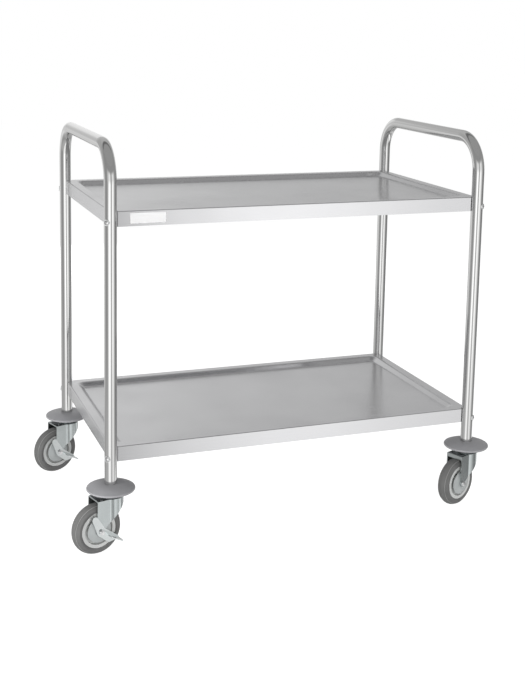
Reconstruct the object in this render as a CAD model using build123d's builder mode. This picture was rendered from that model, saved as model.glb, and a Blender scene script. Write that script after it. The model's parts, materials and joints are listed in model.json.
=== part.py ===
from build123d import *
import os
from math import atan, cos, degrees, radians, sin, sqrt

# A two-tier stainless service cart: two bent tube frames carry two pressed trays,
# and each of the four posts stands on a swivel caster. The left casters have brakes.
# +X runs from the left handle to the right one, +Y to the back, +Z up, in millimetres.
# The origin lies on the floor, in the middle of the cart's outermost reach.

# Posts and handles
post_spacing_x = 800.0
post_spacing_y = 452.0
tube_diameter = 25.0
tube_wall = 1.2
handle_rise = 137.0
handle_bend_radius = 72.0

# Trays
lower_rim_rise = 80.9
tray_spacing = 471.0
skirt_height = 30.5
sheet = 1.0
rim_width = 21.0
recess_depth = 9.0
recess_slope_run = 10.0
recess_corner_radius = 18.0
deck_bend_radius = 6.0
rim_bend_radius = 10.0
sheet_bend_radius = 2.0
hem_width = 10.0
hem_corner_gap = 32.0
corner_cut = 15.0
corner_seat_gap = 0.3

# Tray bolts, washers and nuts
bolt_drop = 20.0
bolt_diameter = 6.0
bolt_hole_clearance = 0.3
bolt_head_diameter = 10.5
bolt_head_height = 3.2
bolt_end = 2.0
cross_slot_length = 5.6
cross_slot_width = 1.3
cross_slot_depth = 1.5
saddle_diameter = 12.0
saddle_thickness = 1.6
nut_flats = 10.0
nut_height = 5.0
seat_gap = 0.05

# Wheels
wheel_diameter = 104.0
tyre_width = 28.0
tyre_depth = 15.5
tyre_crown = 3.5
tread_half_width = 9.0
tyre_shoulder = 6.0
tyre_seat_inset = 1.5
rim_ring_depth = 6.5
web_thickness = 6.0
hub_diameter = 18.0
hub_gap = 2.5
guard_ring_gap = 5.0
guard_sheet = 1.2
guard_dish = 3.0
guard_boss = 3.0

# Casters
trail = 33.0
running_fit = 0.06
body_gap = 0.3
fork_sheet = 2.5
fork_half_width = 20.5
fork_head_room = 7.5
fork_nose_bulge = 4.5
fork_neck_radius = 3.0
fork_front_depth = 11.0
fork_edge_rise = 1.0
fork_tail = 6.0
fork_lip_depth = 6.5
fork_bend_radius = 1.8
axle_boss_radius = 7.5
axle_diameter = 6.0
axle_nut_flats = 10.0
axle_head_height = 4.0
axle_nut_height = 5.0
axle_end = 1.5
bush_diameter = 11.0
bush_end_gap = 0.1

# Swivel bearing and stem
ball_diameter = 5.0
ball_count = 8
ball_pitch_radius = 14.0
ball_groove_depth = 0.7
ball_fit = 0.08
race_thickness = 2.5
race_lip = 1.3
stem_diameter = 10.0
stem_head_flats = 16.0
stem_head_height = 6.0
thrust_washer_diameter = 18.0
thrust_washer_thickness = 1.5
thrust_gap = 0.15
stem_end = 4.0

# Bumper discs and tube expanders
bumper_diameter = 97.0
bumper_height = 18.0
bumper_rim_lift = 5.0
bumper_rim_height = 5.5
bumper_crown_rise = 2.2
bumper_wall = 3.5
bumper_hub_diameter = 42.0
bumper_floor = 10.0
bumper_rib_count = 8
bumper_rib_angle = 5.0
tube_seat_gap = 0.3
sleeve_length = 45.0
sleeve_slot_width = 1.6
sleeve_slot_depth = 28.0
cone_length = 14.0
cone_slope = 0.3
cone_rise = 6.0

# Brakes
lever_sheet = 2.0
cam_thickness = 2.0
cam_diameter = 15.0
lever_gap = 0.1
lever_hub_radius = 9.5
lever_horn_height = 28.0
lever_horn_radius = 6.0
lever_lobe_forward = 17.0
lever_lobe_drop = 18.0
lever_lobe_radius = 6.0
lever_tip_radius = 3.0
brake_travel = 10.0
stop_clearance = 0.6
stop_tab_height = 11.0
pedal_slope = 27.0
pedal_start = 12.0
pedal_length = 42.0
pedal_width = 21.0
pedal_corner_radius = 4.0

# Each caster: name, side along X, side along Y, heading in degrees, brake
casters = [
    ("front_left", -1, -1, 15.0, True),
    ("front_right", 1, -1, 23.0, False),
    ("rear_left", -1, 1, 19.0, True),
    ("rear_right", 1, 1, -10.0, False),
]
frames = [("left", -1), ("right", 1)]

# Heights and radii that follow from the sizes above
tube_radius = tube_diameter / 2
tube_bore_radius = tube_radius - tube_wall
wheel_radius = wheel_diameter / 2
tread_edge = wheel_radius - tyre_crown
tread_arc_radius = (tread_half_width**2 + tyre_crown**2) / (2 * tyre_crown)
shoulder_foot = tread_edge - tyre_shoulder
axle_radius = axle_diameter / 2
bush_radius = bush_diameter / 2
stem_radius = stem_diameter / 2
ball_radius = ball_diameter / 2
axle_z = wheel_radius
fork_inner = fork_half_width - fork_sheet
fork_nose_radius = fork_half_width + fork_nose_bulge
fork_under_z = wheel_diameter + fork_head_room
fork_top_z = fork_under_z + fork_sheet
ball_z = fork_top_z + ball_radius - ball_groove_depth
race_under_z = ball_z + ball_radius - ball_groove_depth
bumper_under_z = race_under_z + race_thickness
bumper_top_z = bumper_under_z + bumper_height
tube_end_z = bumper_under_z + bumper_floor
thrust_washer_top_z = fork_under_z - thrust_gap
stem_head_top_z = thrust_washer_top_z - thrust_washer_thickness
sleeve_top_z = tube_end_z + sleeve_length
lower_rim_z = tube_end_z + lower_rim_rise
top_rim_z = lower_rim_z + tray_spacing
handle_top_z = top_rim_z + handle_rise
handle_bar_z = handle_top_z - tube_radius
bolt_radius = bolt_diameter / 2
bolt_hole_radius = bolt_radius + bolt_hole_clearance
notch_radius = tube_radius + corner_seat_gap
head_seat = tube_radius + saddle_thickness
nut_seat = notch_radius + sheet + saddle_thickness
lever_inner = fork_half_width + cam_thickness + lever_gap
lever_outer = lever_inner + lever_sheet
fork_back = trail + fork_tail
fork_low_z = axle_z - axle_boss_radius
fork_nose_z = fork_top_z - fork_front_depth
shell_back = trail + 2 * axle_boss_radius
trays = [("top_tray", top_rim_z), ("lower_tray", lower_rim_z)]


def caster_reach(heading, ux, uy):
    """Farthest reach of a caster from its post, towards the level direction (ux, uy)."""
    along = cos(radians(heading)) * ux + sin(radians(heading)) * uy
    across = abs(cos(radians(heading)) * uy - sin(radians(heading)) * ux)
    if across * tread_arc_radius <= tread_half_width:
        tread = (wheel_radius - tread_arc_radius) * abs(along) + tread_arc_radius
    else:
        tread = tread_edge * abs(along) + tread_half_width * across
    shoulder = shoulder_foot * abs(along) + tyre_width / 2 * across
    return max(bumper_diameter / 2, max(tread, shoulder) - trail * along)


# The posts stand off the origin by half of what the turned wheels reach past the bumpers
left_reach = max(caster_reach(c[3], -1, 0) for c in casters if c[1] < 0)
right_reach = max(caster_reach(c[3], 1, 0) for c in casters if c[1] > 0)
front_reach = max(caster_reach(c[3], 0, -1) for c in casters if c[2] < 0)
back_reach = max(caster_reach(c[3], 0, 1) for c in casters if c[2] > 0)
middle_x = (left_reach - right_reach) / 2
middle_y = (front_reach - back_reach) / 2
middle_plane = Plane(origin=(middle_x, middle_y, 0))
corners = [(side_x, side_y) for side_x in (-1, 1) for side_y in (-1, 1)]


def post_at(side_x, side_y):
    """Level position of a post's centre line."""
    return (middle_x + side_x * post_spacing_x / 2, middle_y + side_y * post_spacing_y / 2)


def bolt_plane(side_x, side_y, rim_z):
    """Plane across a tray bolt at the post's centre line, facing diagonally out of the cart."""
    post_x, post_y = post_at(side_x, side_y)
    return Plane(origin=(post_x, post_y, rim_z - bolt_drop), x_dir=(0, 0, 1), z_dir=(side_x, side_y, 0))


def caster_planes(side_x, side_y, heading):
    """Planes of a caster: level through the floor, upright through the stem, and across the axle.

    The first axis of each leads the caster's way, and the wheel trails behind the stem.
    """
    post_x, post_y = post_at(side_x, side_y)
    lead = (cos(radians(heading)), sin(radians(heading)), 0)
    near = (sin(radians(heading)), -cos(radians(heading)), 0)
    plan = Plane(origin=(post_x, post_y, 0), x_dir=lead, z_dir=(0, 0, 1))
    side = Plane(origin=(post_x, post_y, 0), x_dir=lead, z_dir=near)
    axle = Plane(origin=side.from_local_coords((-trail, axle_z, 0)), x_dir=lead, z_dir=near)
    return plan, side, axle


def stem_axis(plan):
    """Upright axis of a caster's stem."""
    return Axis(plan.origin, (0, 0, 1))


def wheel_section(axle):
    """Level plane through the axle: radius from the axle first, place along the axle second."""
    return Plane(origin=axle.origin, x_dir=axle.x_dir, z_dir=(0, 0, 1))


def fork_outline(inset):
    """Level outline of a fork's shell, drawn in by an inset: a round nose about the stem, and flat legs.

    The nose stands wider than the legs, which leave it at a neck.
    """
    nose = fork_nose_radius - inset
    leg = fork_half_width - inset
    neck = -sqrt(nose**2 - leg**2)
    with BuildSketch() as outline:
        with BuildLine():
            ThreePointArc((neck, leg), (nose, 0), (neck, -leg))
            Polyline((neck, -leg), (-shell_back, -leg), (-shell_back, leg), (neck, leg))
        make_face()
        fillet(outline.vertices().group_by(Axis.X)[-1], fork_neck_radius + inset)
    return outline.sketch


def save(piece, name):
    """Label a finished piece and write it."""
    piece.part.label = name
    export_step(piece.part, f"parts/{name}.step")


os.makedirs("parts", exist_ok=True)

# Handle frames: one tube each, bent into two posts and a push handle
for side_name, side_x in frames:
    post_x, front_y = post_at(side_x, -1)
    back_y = post_at(side_x, 1)[1]
    with BuildPart() as frame:
        with BuildLine(Plane.YZ.offset(post_x)) as tube_path:
            FilletPolyline(
                (front_y, tube_end_z),
                (front_y, handle_bar_z),
                (back_y, handle_bar_z),
                (back_y, tube_end_z),
                radius=handle_bend_radius,
            )
        with BuildSketch(Plane(origin=(post_x, front_y, tube_end_z))):
            Circle(tube_radius)
            Circle(tube_bore_radius, mode=Mode.SUBTRACT)
        sweep(path=tube_path.wires()[0])
        for side_y in (-1, 1):
            for tray_name, rim_z in trays:
                with BuildSketch(bolt_plane(side_x, side_y, rim_z)):
                    Circle(bolt_hole_radius)
                extrude(amount=tube_diameter, both=True, mode=Mode.SUBTRACT)
    save(frame, f"{side_name}_handle_frame")

# Trays: pressed sheet with a sunk deck, four skirts, and corners cut off and hollowed to seat the posts
recess_angle = degrees(atan(recess_slope_run / recess_depth))
for tray_name, rim_z in trays:
    with BuildPart() as tray:
        with BuildSketch(middle_plane.offset(rim_z - skirt_height)):
            outline = Rectangle(post_spacing_x, post_spacing_y)
            chamfer(outline.vertices(), corner_cut)
            with GridLocations(post_spacing_x, post_spacing_y, 2, 2):
                Circle(notch_radius, mode=Mode.SUBTRACT)
        extrude(amount=skirt_height)
        with BuildSketch(middle_plane.offset(rim_z)):
            RectangleRounded(
                post_spacing_x - 2 * rim_width,
                post_spacing_y - 2 * rim_width,
                recess_corner_radius,
            )
        extrude(amount=-recess_depth, taper=recess_angle, mode=Mode.SUBTRACT)
        deck = tray.faces().filter_by(Plane.XY).sort_by(Axis.Z)[1]
        fillet(deck.edges(), deck_bend_radius)
        rim = tray.faces().sort_by(Axis.Z)[-1]
        fillet(rim.inner_wires()[0].edges(), rim_bend_radius)
        rim = tray.faces().sort_by(Axis.Z)[-1]
        fillet(rim.outer_wire().edges(), sheet_bend_radius)
        underside = tray.faces().sort_by(Axis.Z)[0]
        offset(amount=-sheet, openings=underside)
        for side in (-1, 1):
            with BuildSketch(middle_plane.offset(rim_z - skirt_height)):
                with Locations((0, side * (post_spacing_y / 2 - hem_width / 2))):
                    Rectangle(post_spacing_x - 2 * hem_corner_gap, hem_width)
                with Locations((side * (post_spacing_x / 2 - hem_width / 2), 0)):
                    Rectangle(hem_width, post_spacing_y - 2 * hem_corner_gap)
            extrude(amount=sheet)
        for side_x, side_y in corners:
            with BuildSketch(bolt_plane(side_x, side_y, rim_z)):
                Circle(bolt_hole_radius)
            extrude(amount=-nut_seat, mode=Mode.SUBTRACT)
    save(tray, tray_name)

# Tray bolts: domed heads outside the posts, shanks running in through the tray corners
head_face = head_seat + bolt_head_height
bolt_tail = nut_seat + nut_height + bolt_end
with BuildPart() as tray_bolts:
    for tray_name, rim_z in trays:
        for side_x, side_y in corners:
            across = bolt_plane(side_x, side_y, rim_z)
            along = Plane(origin=across.origin, x_dir=across.z_dir, z_dir=(0, 0, 1))
            with BuildSketch(along):
                with BuildLine():
                    Polyline(
                        (head_face, 0),
                        (-bolt_tail, 0),
                        (-bolt_tail, bolt_radius),
                        (head_seat, bolt_radius),
                        (head_seat, bolt_head_diameter / 2),
                    )
                    RadiusArc(
                        (head_seat, bolt_head_diameter / 2),
                        (head_face, 0),
                        -(bolt_head_diameter**2 / 4 + bolt_head_height**2) / (2 * bolt_head_height),
                    )
                make_face()
            revolve(axis=Axis(across.origin, across.z_dir))
            with BuildSketch(across.offset(head_face)):
                Rectangle(cross_slot_length, cross_slot_width)
                Rectangle(cross_slot_width, cross_slot_length)
            extrude(amount=-cross_slot_depth, mode=Mode.SUBTRACT)
save(tray_bolts, "tray_bolts")

# Saddle washers: hollowed to the tube under the bolt heads, and to the corner wall inside the trays
with BuildPart() as outer_saddles:
    for tray_name, rim_z in trays:
        for side_x, side_y in corners:
            with BuildSketch(bolt_plane(side_x, side_y, rim_z)):
                Circle(saddle_diameter / 2)
                Circle(bolt_hole_radius, mode=Mode.SUBTRACT)
            extrude(amount=head_seat - seat_gap)
    for side_x, side_y in corners:
        with BuildSketch(Plane.XY):
            with Locations(post_at(side_x, side_y)):
                Circle(tube_radius + seat_gap)
        extrude(amount=handle_top_z, mode=Mode.SUBTRACT)
save(outer_saddles, "outer_saddle_washers")

with BuildPart() as inner_saddles:
    for tray_name, rim_z in trays:
        for side_x, side_y in corners:
            with BuildSketch(bolt_plane(side_x, side_y, rim_z)):
                Circle(saddle_diameter / 2)
                Circle(bolt_hole_radius, mode=Mode.SUBTRACT)
            extrude(amount=-(nut_seat - seat_gap))
    for side_x, side_y in corners:
        with BuildSketch(Plane.XY):
            with Locations(post_at(side_x, side_y)):
                Circle(notch_radius + sheet + seat_gap)
        extrude(amount=handle_top_z, mode=Mode.SUBTRACT)
save(inner_saddles, "inner_saddle_washers")

with BuildPart() as tray_nuts:
    for tray_name, rim_z in trays:
        for side_x, side_y in corners:
            with BuildSketch(bolt_plane(side_x, side_y, rim_z).offset(-nut_seat)):
                RegularPolygon(nut_flats / 2, 6, major_radius=False)
                Circle(bolt_radius + seat_gap, mode=Mode.SUBTRACT)
            extrude(amount=-nut_height)
save(tray_nuts, "tray_nuts")

# Bumper discs: a shallow dome with a rounded rim, ribbed below, and a seat for the post
bumper_radius = bumper_diameter / 2
rim_under_z = bumper_under_z + bumper_rim_lift
rim_top_z = rim_under_z + bumper_rim_height
seat_radius = tube_radius + tube_seat_gap
rim_round = bumper_rim_height / 2
crown_mid_r = (bumper_radius - rim_round + seat_radius) / 2
crown_mid_z = (rim_top_z + bumper_top_z) / 2 + bumper_crown_rise
hollow_outer = bumper_radius - rim_round - bumper_wall / 2
hollow_inner = bumper_hub_diameter / 2
hollow_outer_top = rim_top_z - bumper_wall / 2
hollow_inner_top = crown_mid_z - bumper_wall
hollow_arc = 360 / bumper_rib_count - bumper_rib_angle
for name, side_x, side_y, heading, braked in casters:
    plan, side, axle = caster_planes(side_x, side_y, heading)
    with BuildPart() as bumper:
        with BuildSketch(side):
            with BuildLine():
                Polyline(
                    (seat_radius, bumper_top_z),
                    (seat_radius, tube_end_z),
                    (stem_radius + seat_gap, tube_end_z),
                    (stem_radius + seat_gap, bumper_under_z),
                    (hollow_inner, bumper_under_z),
                    (hollow_inner, rim_under_z),
                    (bumper_radius - rim_round, rim_under_z),
                )
                ThreePointArc(
                    (bumper_radius - rim_round, rim_under_z),
                    (bumper_radius, rim_under_z + rim_round),
                    (bumper_radius - rim_round, rim_top_z),
                )
                ThreePointArc(
                    (bumper_radius - rim_round, rim_top_z),
                    (crown_mid_r, crown_mid_z),
                    (seat_radius, bumper_top_z),
                )
            make_face()
        revolve(axis=stem_axis(plan))
        for rib in range(bumper_rib_count):
            rib_heading = heading + rib * 360 / bumper_rib_count
            with BuildSketch(caster_planes(side_x, side_y, rib_heading)[1]):
                Polygon(
                    (hollow_inner, rim_under_z),
                    (hollow_outer, rim_under_z),
                    (hollow_outer, hollow_outer_top),
                    (crown_mid_r, hollow_inner_top),
                    (hollow_inner, hollow_inner_top),
                    align=None,
                )
            revolve(axis=stem_axis(plan), revolution_arc=hollow_arc, mode=Mode.SUBTRACT)
    save(bumper, f"{name}_bumper")

# Expanders: slit sleeves in the tube ends, spread by the cones that the stem bolts draw down
sleeve_radius = tube_bore_radius - seat_gap
cone_wide_z = sleeve_top_z + cone_rise
cone_narrow_z = cone_wide_z - cone_length
cone_narrow_radius = sleeve_radius - cone_slope * cone_length
socket_depth = sleeve_top_z - cone_narrow_z
with BuildPart() as sleeves:
    for name, side_x, side_y, heading, braked in casters:
        plan, side, axle = caster_planes(side_x, side_y, heading)
        with BuildSketch(side):
            Polygon(
                (stem_radius + seat_gap, tube_end_z),
                (sleeve_radius, tube_end_z),
                (sleeve_radius, sleeve_top_z),
                (cone_narrow_radius + cone_slope * socket_depth + seat_gap, sleeve_top_z),
                (cone_narrow_radius + seat_gap, cone_narrow_z),
                (stem_radius + seat_gap, cone_narrow_z),
                align=None,
            )
        revolve(axis=stem_axis(plan))
        with BuildSketch(plan.offset(sleeve_top_z)):
            Rectangle(tube_diameter, sleeve_slot_width)
            Rectangle(sleeve_slot_width, tube_diameter)
        extrude(amount=-sleeve_slot_depth, mode=Mode.SUBTRACT)
save(sleeves, "expander_sleeves")

with BuildPart() as cones:
    for name, side_x, side_y, heading, braked in casters:
        plan, side, axle = caster_planes(side_x, side_y, heading)
        with BuildSketch(side):
            Polygon(
                (stem_radius + seat_gap, cone_narrow_z),
                (cone_narrow_radius, cone_narrow_z),
                (sleeve_radius, cone_wide_z),
                (stem_radius + seat_gap, cone_wide_z),
                align=None,
            )
        revolve(axis=stem_axis(plan))
save(cones, "expander_cones")

# Stem bolts: kingpins with a hexagon head inside the fork, screwed into the cones
with BuildPart() as stem_bolts:
    for name, side_x, side_y, heading, braked in casters:
        plan, side, axle = caster_planes(side_x, side_y, heading)
        with BuildSketch(plan.offset(stem_head_top_z)):
            RegularPolygon(stem_head_flats / 2, 6, major_radius=False)
        extrude(amount=-stem_head_height)
        with BuildSketch(plan.offset(stem_head_top_z)):
            Circle(stem_radius)
        extrude(amount=cone_wide_z + stem_end - stem_head_top_z)
save(stem_bolts, "stem_bolts")

with BuildPart() as thrust_washers:
    for name, side_x, side_y, heading, braked in casters:
        plan, side, axle = caster_planes(side_x, side_y, heading)
        with BuildSketch(plan.offset(stem_head_top_z)):
            Circle(thrust_washer_diameter / 2)
            Circle(stem_radius + seat_gap, mode=Mode.SUBTRACT)
        extrude(amount=thrust_washer_thickness)
save(thrust_washers, "thrust_washers")

# Upper races: pressed cups under the bumpers, their lips hooded over the balls
race_lip_inner = ball_pitch_radius + ball_radius + 2 * body_gap
race_lip_outer = race_lip_inner + race_lip
race_lip_z = fork_top_z + 2 * body_gap
with BuildPart() as races:
    for name, side_x, side_y, heading, braked in casters:
        plan, side, axle = caster_planes(side_x, side_y, heading)
        with BuildSketch(side):
            Polygon(
                (stem_radius + seat_gap, bumper_under_z),
                (race_lip_outer, bumper_under_z),
                (race_lip_outer, race_lip_z),
                (race_lip_inner, race_lip_z),
                (race_lip_inner, race_under_z),
                (stem_radius + seat_gap, race_under_z),
                align=None,
            )
        revolve(axis=stem_axis(plan))
        with BuildSketch(side):
            with Locations((ball_pitch_radius, ball_z)):
                Circle(ball_radius + ball_fit)
        revolve(axis=stem_axis(plan), mode=Mode.SUBTRACT)
save(races, "upper_races")

fork_outside = fork_outline(0)
fork_inside = fork_outline(fork_sheet)
for name, side_x, side_y, heading, braked in casters:
    plan, side, axle = caster_planes(side_x, side_y, heading)
    section = wheel_section(axle)
    axle_axis = Axis(axle.origin, axle.z_dir)

    # Ring of balls between the fork and the upper race
    with BuildPart(plan.offset(ball_z)) as balls:
        with PolarLocations(ball_pitch_radius, ball_count):
            Sphere(ball_radius)
    save(balls, f"{name}_bearing_balls")

    # Fork: a drawn shell, round and wider about the stem, cut to a slanting side outline. Behind it
    # is open for the brake, or closed above the wheel by a lip
    edge_foot = (-trail + axle_boss_radius, axle_z)
    edge_mid = (
        (fork_nose_radius + edge_foot[0]) / 2 - fork_edge_rise / sqrt(2),
        (fork_nose_z + axle_z) / 2 + fork_edge_rise / sqrt(2),
    )
    with BuildPart() as fork:
        with BuildSketch(plan.offset(fork_low_z)):
            add(fork_outside)
        extrude(amount=fork_top_z - fork_low_z)
        with BuildSketch(plan.offset(fork_low_z)):
            add(fork_inside)
        extrude(amount=fork_under_z - fork_low_z, mode=Mode.SUBTRACT)
        with BuildSketch(side):
            with BuildLine():
                Polyline(
                    (-trail - axle_boss_radius, axle_z),
                    (-fork_back, fork_top_z),
                    (fork_nose_radius, fork_top_z),
                    (fork_nose_radius, fork_nose_z),
                )
                ThreePointArc((fork_nose_radius, fork_nose_z), edge_mid, edge_foot)
                ThreePointArc(edge_foot, (-trail, fork_low_z), (-trail - axle_boss_radius, axle_z))
            make_face()
        extrude(amount=2 * fork_nose_radius, both=True, mode=Mode.INTERSECT)
        if not braked:
            with BuildSketch(plan.offset(fork_under_z)):
                with Locations((-fork_back, 0)):
                    Rectangle(fork_sheet, 2 * fork_half_width, align=(Align.MIN, Align.CENTER))
            extrude(amount=-fork_lip_depth)
        fillet(fork.edges().group_by(Axis.Z)[-1], fork_bend_radius)
        with BuildSketch(plan.offset(fork_top_z)):
            Circle(stem_radius + running_fit)
        extrude(amount=-2 * fork_sheet, mode=Mode.SUBTRACT)
        with BuildSketch(side):
            with Locations((ball_pitch_radius, ball_z)):
                Circle(ball_radius + seat_gap)
        revolve(axis=stem_axis(plan), mode=Mode.SUBTRACT)
        with BuildSketch(axle):
            Circle(axle_radius + seat_gap)
        extrude(amount=2 * fork_half_width, both=True, mode=Mode.SUBTRACT)
    save(fork, f"{name}_fork")

    # Axle: bolt, nut and the bush that the fork legs clamp
    nut_face = lever_outer + lever_gap if braked else fork_half_width
    with BuildPart() as axle_bolt:
        with BuildSketch(axle.offset(-fork_half_width)):
            RegularPolygon(axle_nut_flats / 2, 6, major_radius=False)
        extrude(amount=-axle_head_height)
        with BuildSketch(axle.offset(-fork_half_width)):
            Circle(axle_radius)
        extrude(amount=fork_half_width + nut_face + axle_nut_height + axle_end)
    save(axle_bolt, f"{name}_axle_bolt")

    with BuildPart() as axle_nut:
        with BuildSketch(axle.offset(nut_face)):
            RegularPolygon(axle_nut_flats / 2, 6, major_radius=False)
            Circle(axle_radius + seat_gap, mode=Mode.SUBTRACT)
        extrude(amount=axle_nut_height)
    save(axle_nut, f"{name}_axle_nut")

    with BuildPart() as axle_bush:
        with BuildSketch(axle):
            Circle(bush_radius)
            Circle(axle_radius + seat_gap, mode=Mode.SUBTRACT)
        extrude(amount=fork_inner - bush_end_gap, both=True)
    save(axle_bush, f"{name}_axle_bush")

    # Wheel: a core with hub, web and rim ring, and the tyre seated on it
    tyre_seat = wheel_radius - tyre_depth
    ring_inner = tyre_seat - rim_ring_depth
    ring_half_width = tyre_width / 2 - tyre_seat_inset
    hub_end = fork_inner - hub_gap
    with BuildPart() as wheel_core:
        with BuildSketch(section):
            with Locations(((ring_inner + tyre_seat) / 2, 0)):
                Rectangle(rim_ring_depth, 2 * ring_half_width)
            with Locations(((hub_diameter / 2 + ring_inner) / 2, 0)):
                Rectangle(ring_inner - hub_diameter / 2, web_thickness)
            with Locations((bush_radius + running_fit, 0)):
                Rectangle(
                    hub_diameter / 2 - bush_radius - running_fit,
                    2 * hub_end,
                    align=(Align.MIN, Align.CENTER),
                )
        revolve(axis=axle_axis)
    save(wheel_core, f"{name}_wheel_core")

    half_width = tyre_width / 2
    with BuildPart() as tyre:
        with BuildSketch(section):
            with BuildLine():
                ThreePointArc(
                    (tread_edge, -tread_half_width),
                    (wheel_radius, 0),
                    (tread_edge, tread_half_width),
                )
                for facing in (-1, 1):
                    Polyline(
                        (tread_edge, facing * tread_half_width),
                        (shoulder_foot, facing * half_width),
                        (tyre_seat + 2 * tyre_seat_inset, facing * half_width),
                        (tyre_seat, facing * ring_half_width),
                        (tyre_seat, 0),
                    )
            make_face()
        revolve(axis=axle_axis)
    save(tyre, f"{name}_tyre")

    # Thread guards: dished discs on the bush, one at each side of the hub
    guard_outer = fork_inner - bush_end_gap
    guard_bore = bush_radius + seat_gap
    boss_radius = hub_diameter / 2 + guard_boss
    guard_radius = ring_inner - guard_ring_gap
    with BuildPart() as guards:
        for facing in (-1, 1):
            with BuildSketch(section):
                Polygon(
                    (guard_bore, facing * guard_outer),
                    (boss_radius, facing * guard_outer),
                    (guard_radius, facing * (guard_outer - guard_dish)),
                    (guard_radius, facing * (guard_outer - guard_dish - guard_sheet)),
                    (boss_radius, facing * (guard_outer - guard_sheet)),
                    (guard_bore, facing * (guard_outer - guard_sheet)),
                    align=None,
                )
            revolve(axis=axle_axis)
    save(guards, f"{name}_thread_guards")

    if braked:
        # Brake: a lever turning on the axle outside the leg, with a foot pedal and a stop tab
        with BuildPart() as cam:
            with BuildSketch(axle.offset(fork_half_width)):
                Circle(cam_diameter / 2)
                Circle(axle_radius + seat_gap, mode=Mode.SUBTRACT)
            extrude(amount=cam_thickness)
        save(cam, f"{name}_brake_cam")

        stop_top = lever_horn_height + stop_tab_height / 2
        stop_face = -(axle_boss_radius + stop_top * sin(radians(brake_travel)) + stop_clearance)
        slope = radians(pedal_slope)
        tip_reach = pedal_length - lever_tip_radius
        tip = (tip_reach * cos(slope), -tip_reach * sin(slope))
        pedal_plane = Plane(
            origin=axle.origin,
            x_dir=axle.x_dir * cos(slope) - axle.y_dir * sin(slope),
            z_dir=axle.x_dir * sin(slope) + axle.y_dir * cos(slope),
        )
        with BuildPart() as lever:
            with BuildSketch(axle.offset(lever_inner)):
                Circle(lever_hub_radius)
                with Locations((stop_face, lever_horn_height)):
                    Circle(lever_horn_radius)
                make_hull()
            extrude(amount=lever_sheet)
            with BuildSketch(axle.offset(lever_inner)):
                Circle(lever_hub_radius)
                with Locations((lever_lobe_forward, -lever_lobe_drop)):
                    Circle(lever_lobe_radius)
                with Locations(tip):
                    Circle(lever_tip_radius)
                make_hull()
            extrude(amount=lever_sheet)
            with BuildSketch(axle.offset(lever_inner)):
                Circle(axle_radius + running_fit)
            extrude(amount=lever_sheet, mode=Mode.SUBTRACT)
            with BuildSketch(axle.offset(lever_inner)):
                with Locations((stop_face, lever_horn_height)):
                    Rectangle(lever_sheet, stop_tab_height, align=(Align.MAX, Align.CENTER))
            extrude(amount=-(lever_inner - fork_inner))
            with BuildSketch(pedal_plane):
                with Locations((pedal_start, -lever_inner)):
                    Rectangle(
                        pedal_length - pedal_start,
                        lever_sheet + pedal_width,
                        align=(Align.MIN, Align.MAX),
                    )
            extrude(amount=lever_sheet / 2, both=True)
            tips = lever.edges().filter_by(Axis(axle.origin, pedal_plane.z_dir))
            fillet(tips.group_by(Axis(axle.origin, axle.z_dir))[-1], pedal_corner_radius)
        save(lever, f"{name}_brake_lever")
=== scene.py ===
import json
import logging
import math
from collections.abc import Callable
from dataclasses import dataclass, field
from enum import Enum

import bmesh
import bpy
from mathutils import Matrix, Vector


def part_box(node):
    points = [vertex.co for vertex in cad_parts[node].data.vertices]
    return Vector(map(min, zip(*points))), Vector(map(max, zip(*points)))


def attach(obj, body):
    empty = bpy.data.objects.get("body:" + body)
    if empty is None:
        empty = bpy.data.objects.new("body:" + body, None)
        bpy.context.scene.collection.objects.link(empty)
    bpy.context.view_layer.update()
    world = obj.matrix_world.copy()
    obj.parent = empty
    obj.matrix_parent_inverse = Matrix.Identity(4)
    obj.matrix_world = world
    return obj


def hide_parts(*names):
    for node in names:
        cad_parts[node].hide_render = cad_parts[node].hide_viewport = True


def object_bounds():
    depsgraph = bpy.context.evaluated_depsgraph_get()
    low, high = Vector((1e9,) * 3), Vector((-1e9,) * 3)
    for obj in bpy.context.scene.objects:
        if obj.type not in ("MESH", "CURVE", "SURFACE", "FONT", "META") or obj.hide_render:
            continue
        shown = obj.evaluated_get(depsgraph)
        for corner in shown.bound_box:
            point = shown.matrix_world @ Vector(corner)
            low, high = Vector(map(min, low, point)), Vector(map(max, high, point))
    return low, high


# The looks of a two-tier stainless service cart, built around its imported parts.
# Lengths are metres in the parts' own frame: +X runs from the left handle to the right one,
# +Y to the back and +Z up from the floor.

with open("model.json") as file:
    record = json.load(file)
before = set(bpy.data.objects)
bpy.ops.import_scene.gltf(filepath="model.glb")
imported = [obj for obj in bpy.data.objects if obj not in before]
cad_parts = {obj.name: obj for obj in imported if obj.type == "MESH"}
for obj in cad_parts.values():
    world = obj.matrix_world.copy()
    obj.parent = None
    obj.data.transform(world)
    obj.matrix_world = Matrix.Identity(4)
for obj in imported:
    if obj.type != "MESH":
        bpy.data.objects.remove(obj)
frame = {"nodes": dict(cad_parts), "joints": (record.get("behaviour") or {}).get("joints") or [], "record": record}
cad_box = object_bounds()

MM = 0.001
CART_BODY = "cart"
# A quarter of the whole turn, as shaders count it.
QUARTER_TURN = 0.25
# Turns a piece's own Y axis to point along Z.
STAND_UP = Matrix.Rotation(math.radians(90), 4, "X")
# A face is level when its normal rises or falls by more than this share of its length.
LEVEL_FACING = 0.999
# Points closer than this are one point, and faces are picked by their place to within the second.
MERGE_GAP = 0.01 * MM
PICK_ROOM = 0.05 * MM
# Noise seldom leaves these values, which stand for its weakest and its strongest places.
NOISE_LOW = 0.3
NOISE_HIGH = 0.7

Triple = tuple[float, float, float]
Colour = Triple
Stops = tuple[tuple[float, float], ...]
Socket = bpy.types.NodeSocket
Piece = bpy.types.Object
log = logging.getLogger("service_cart")


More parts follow.
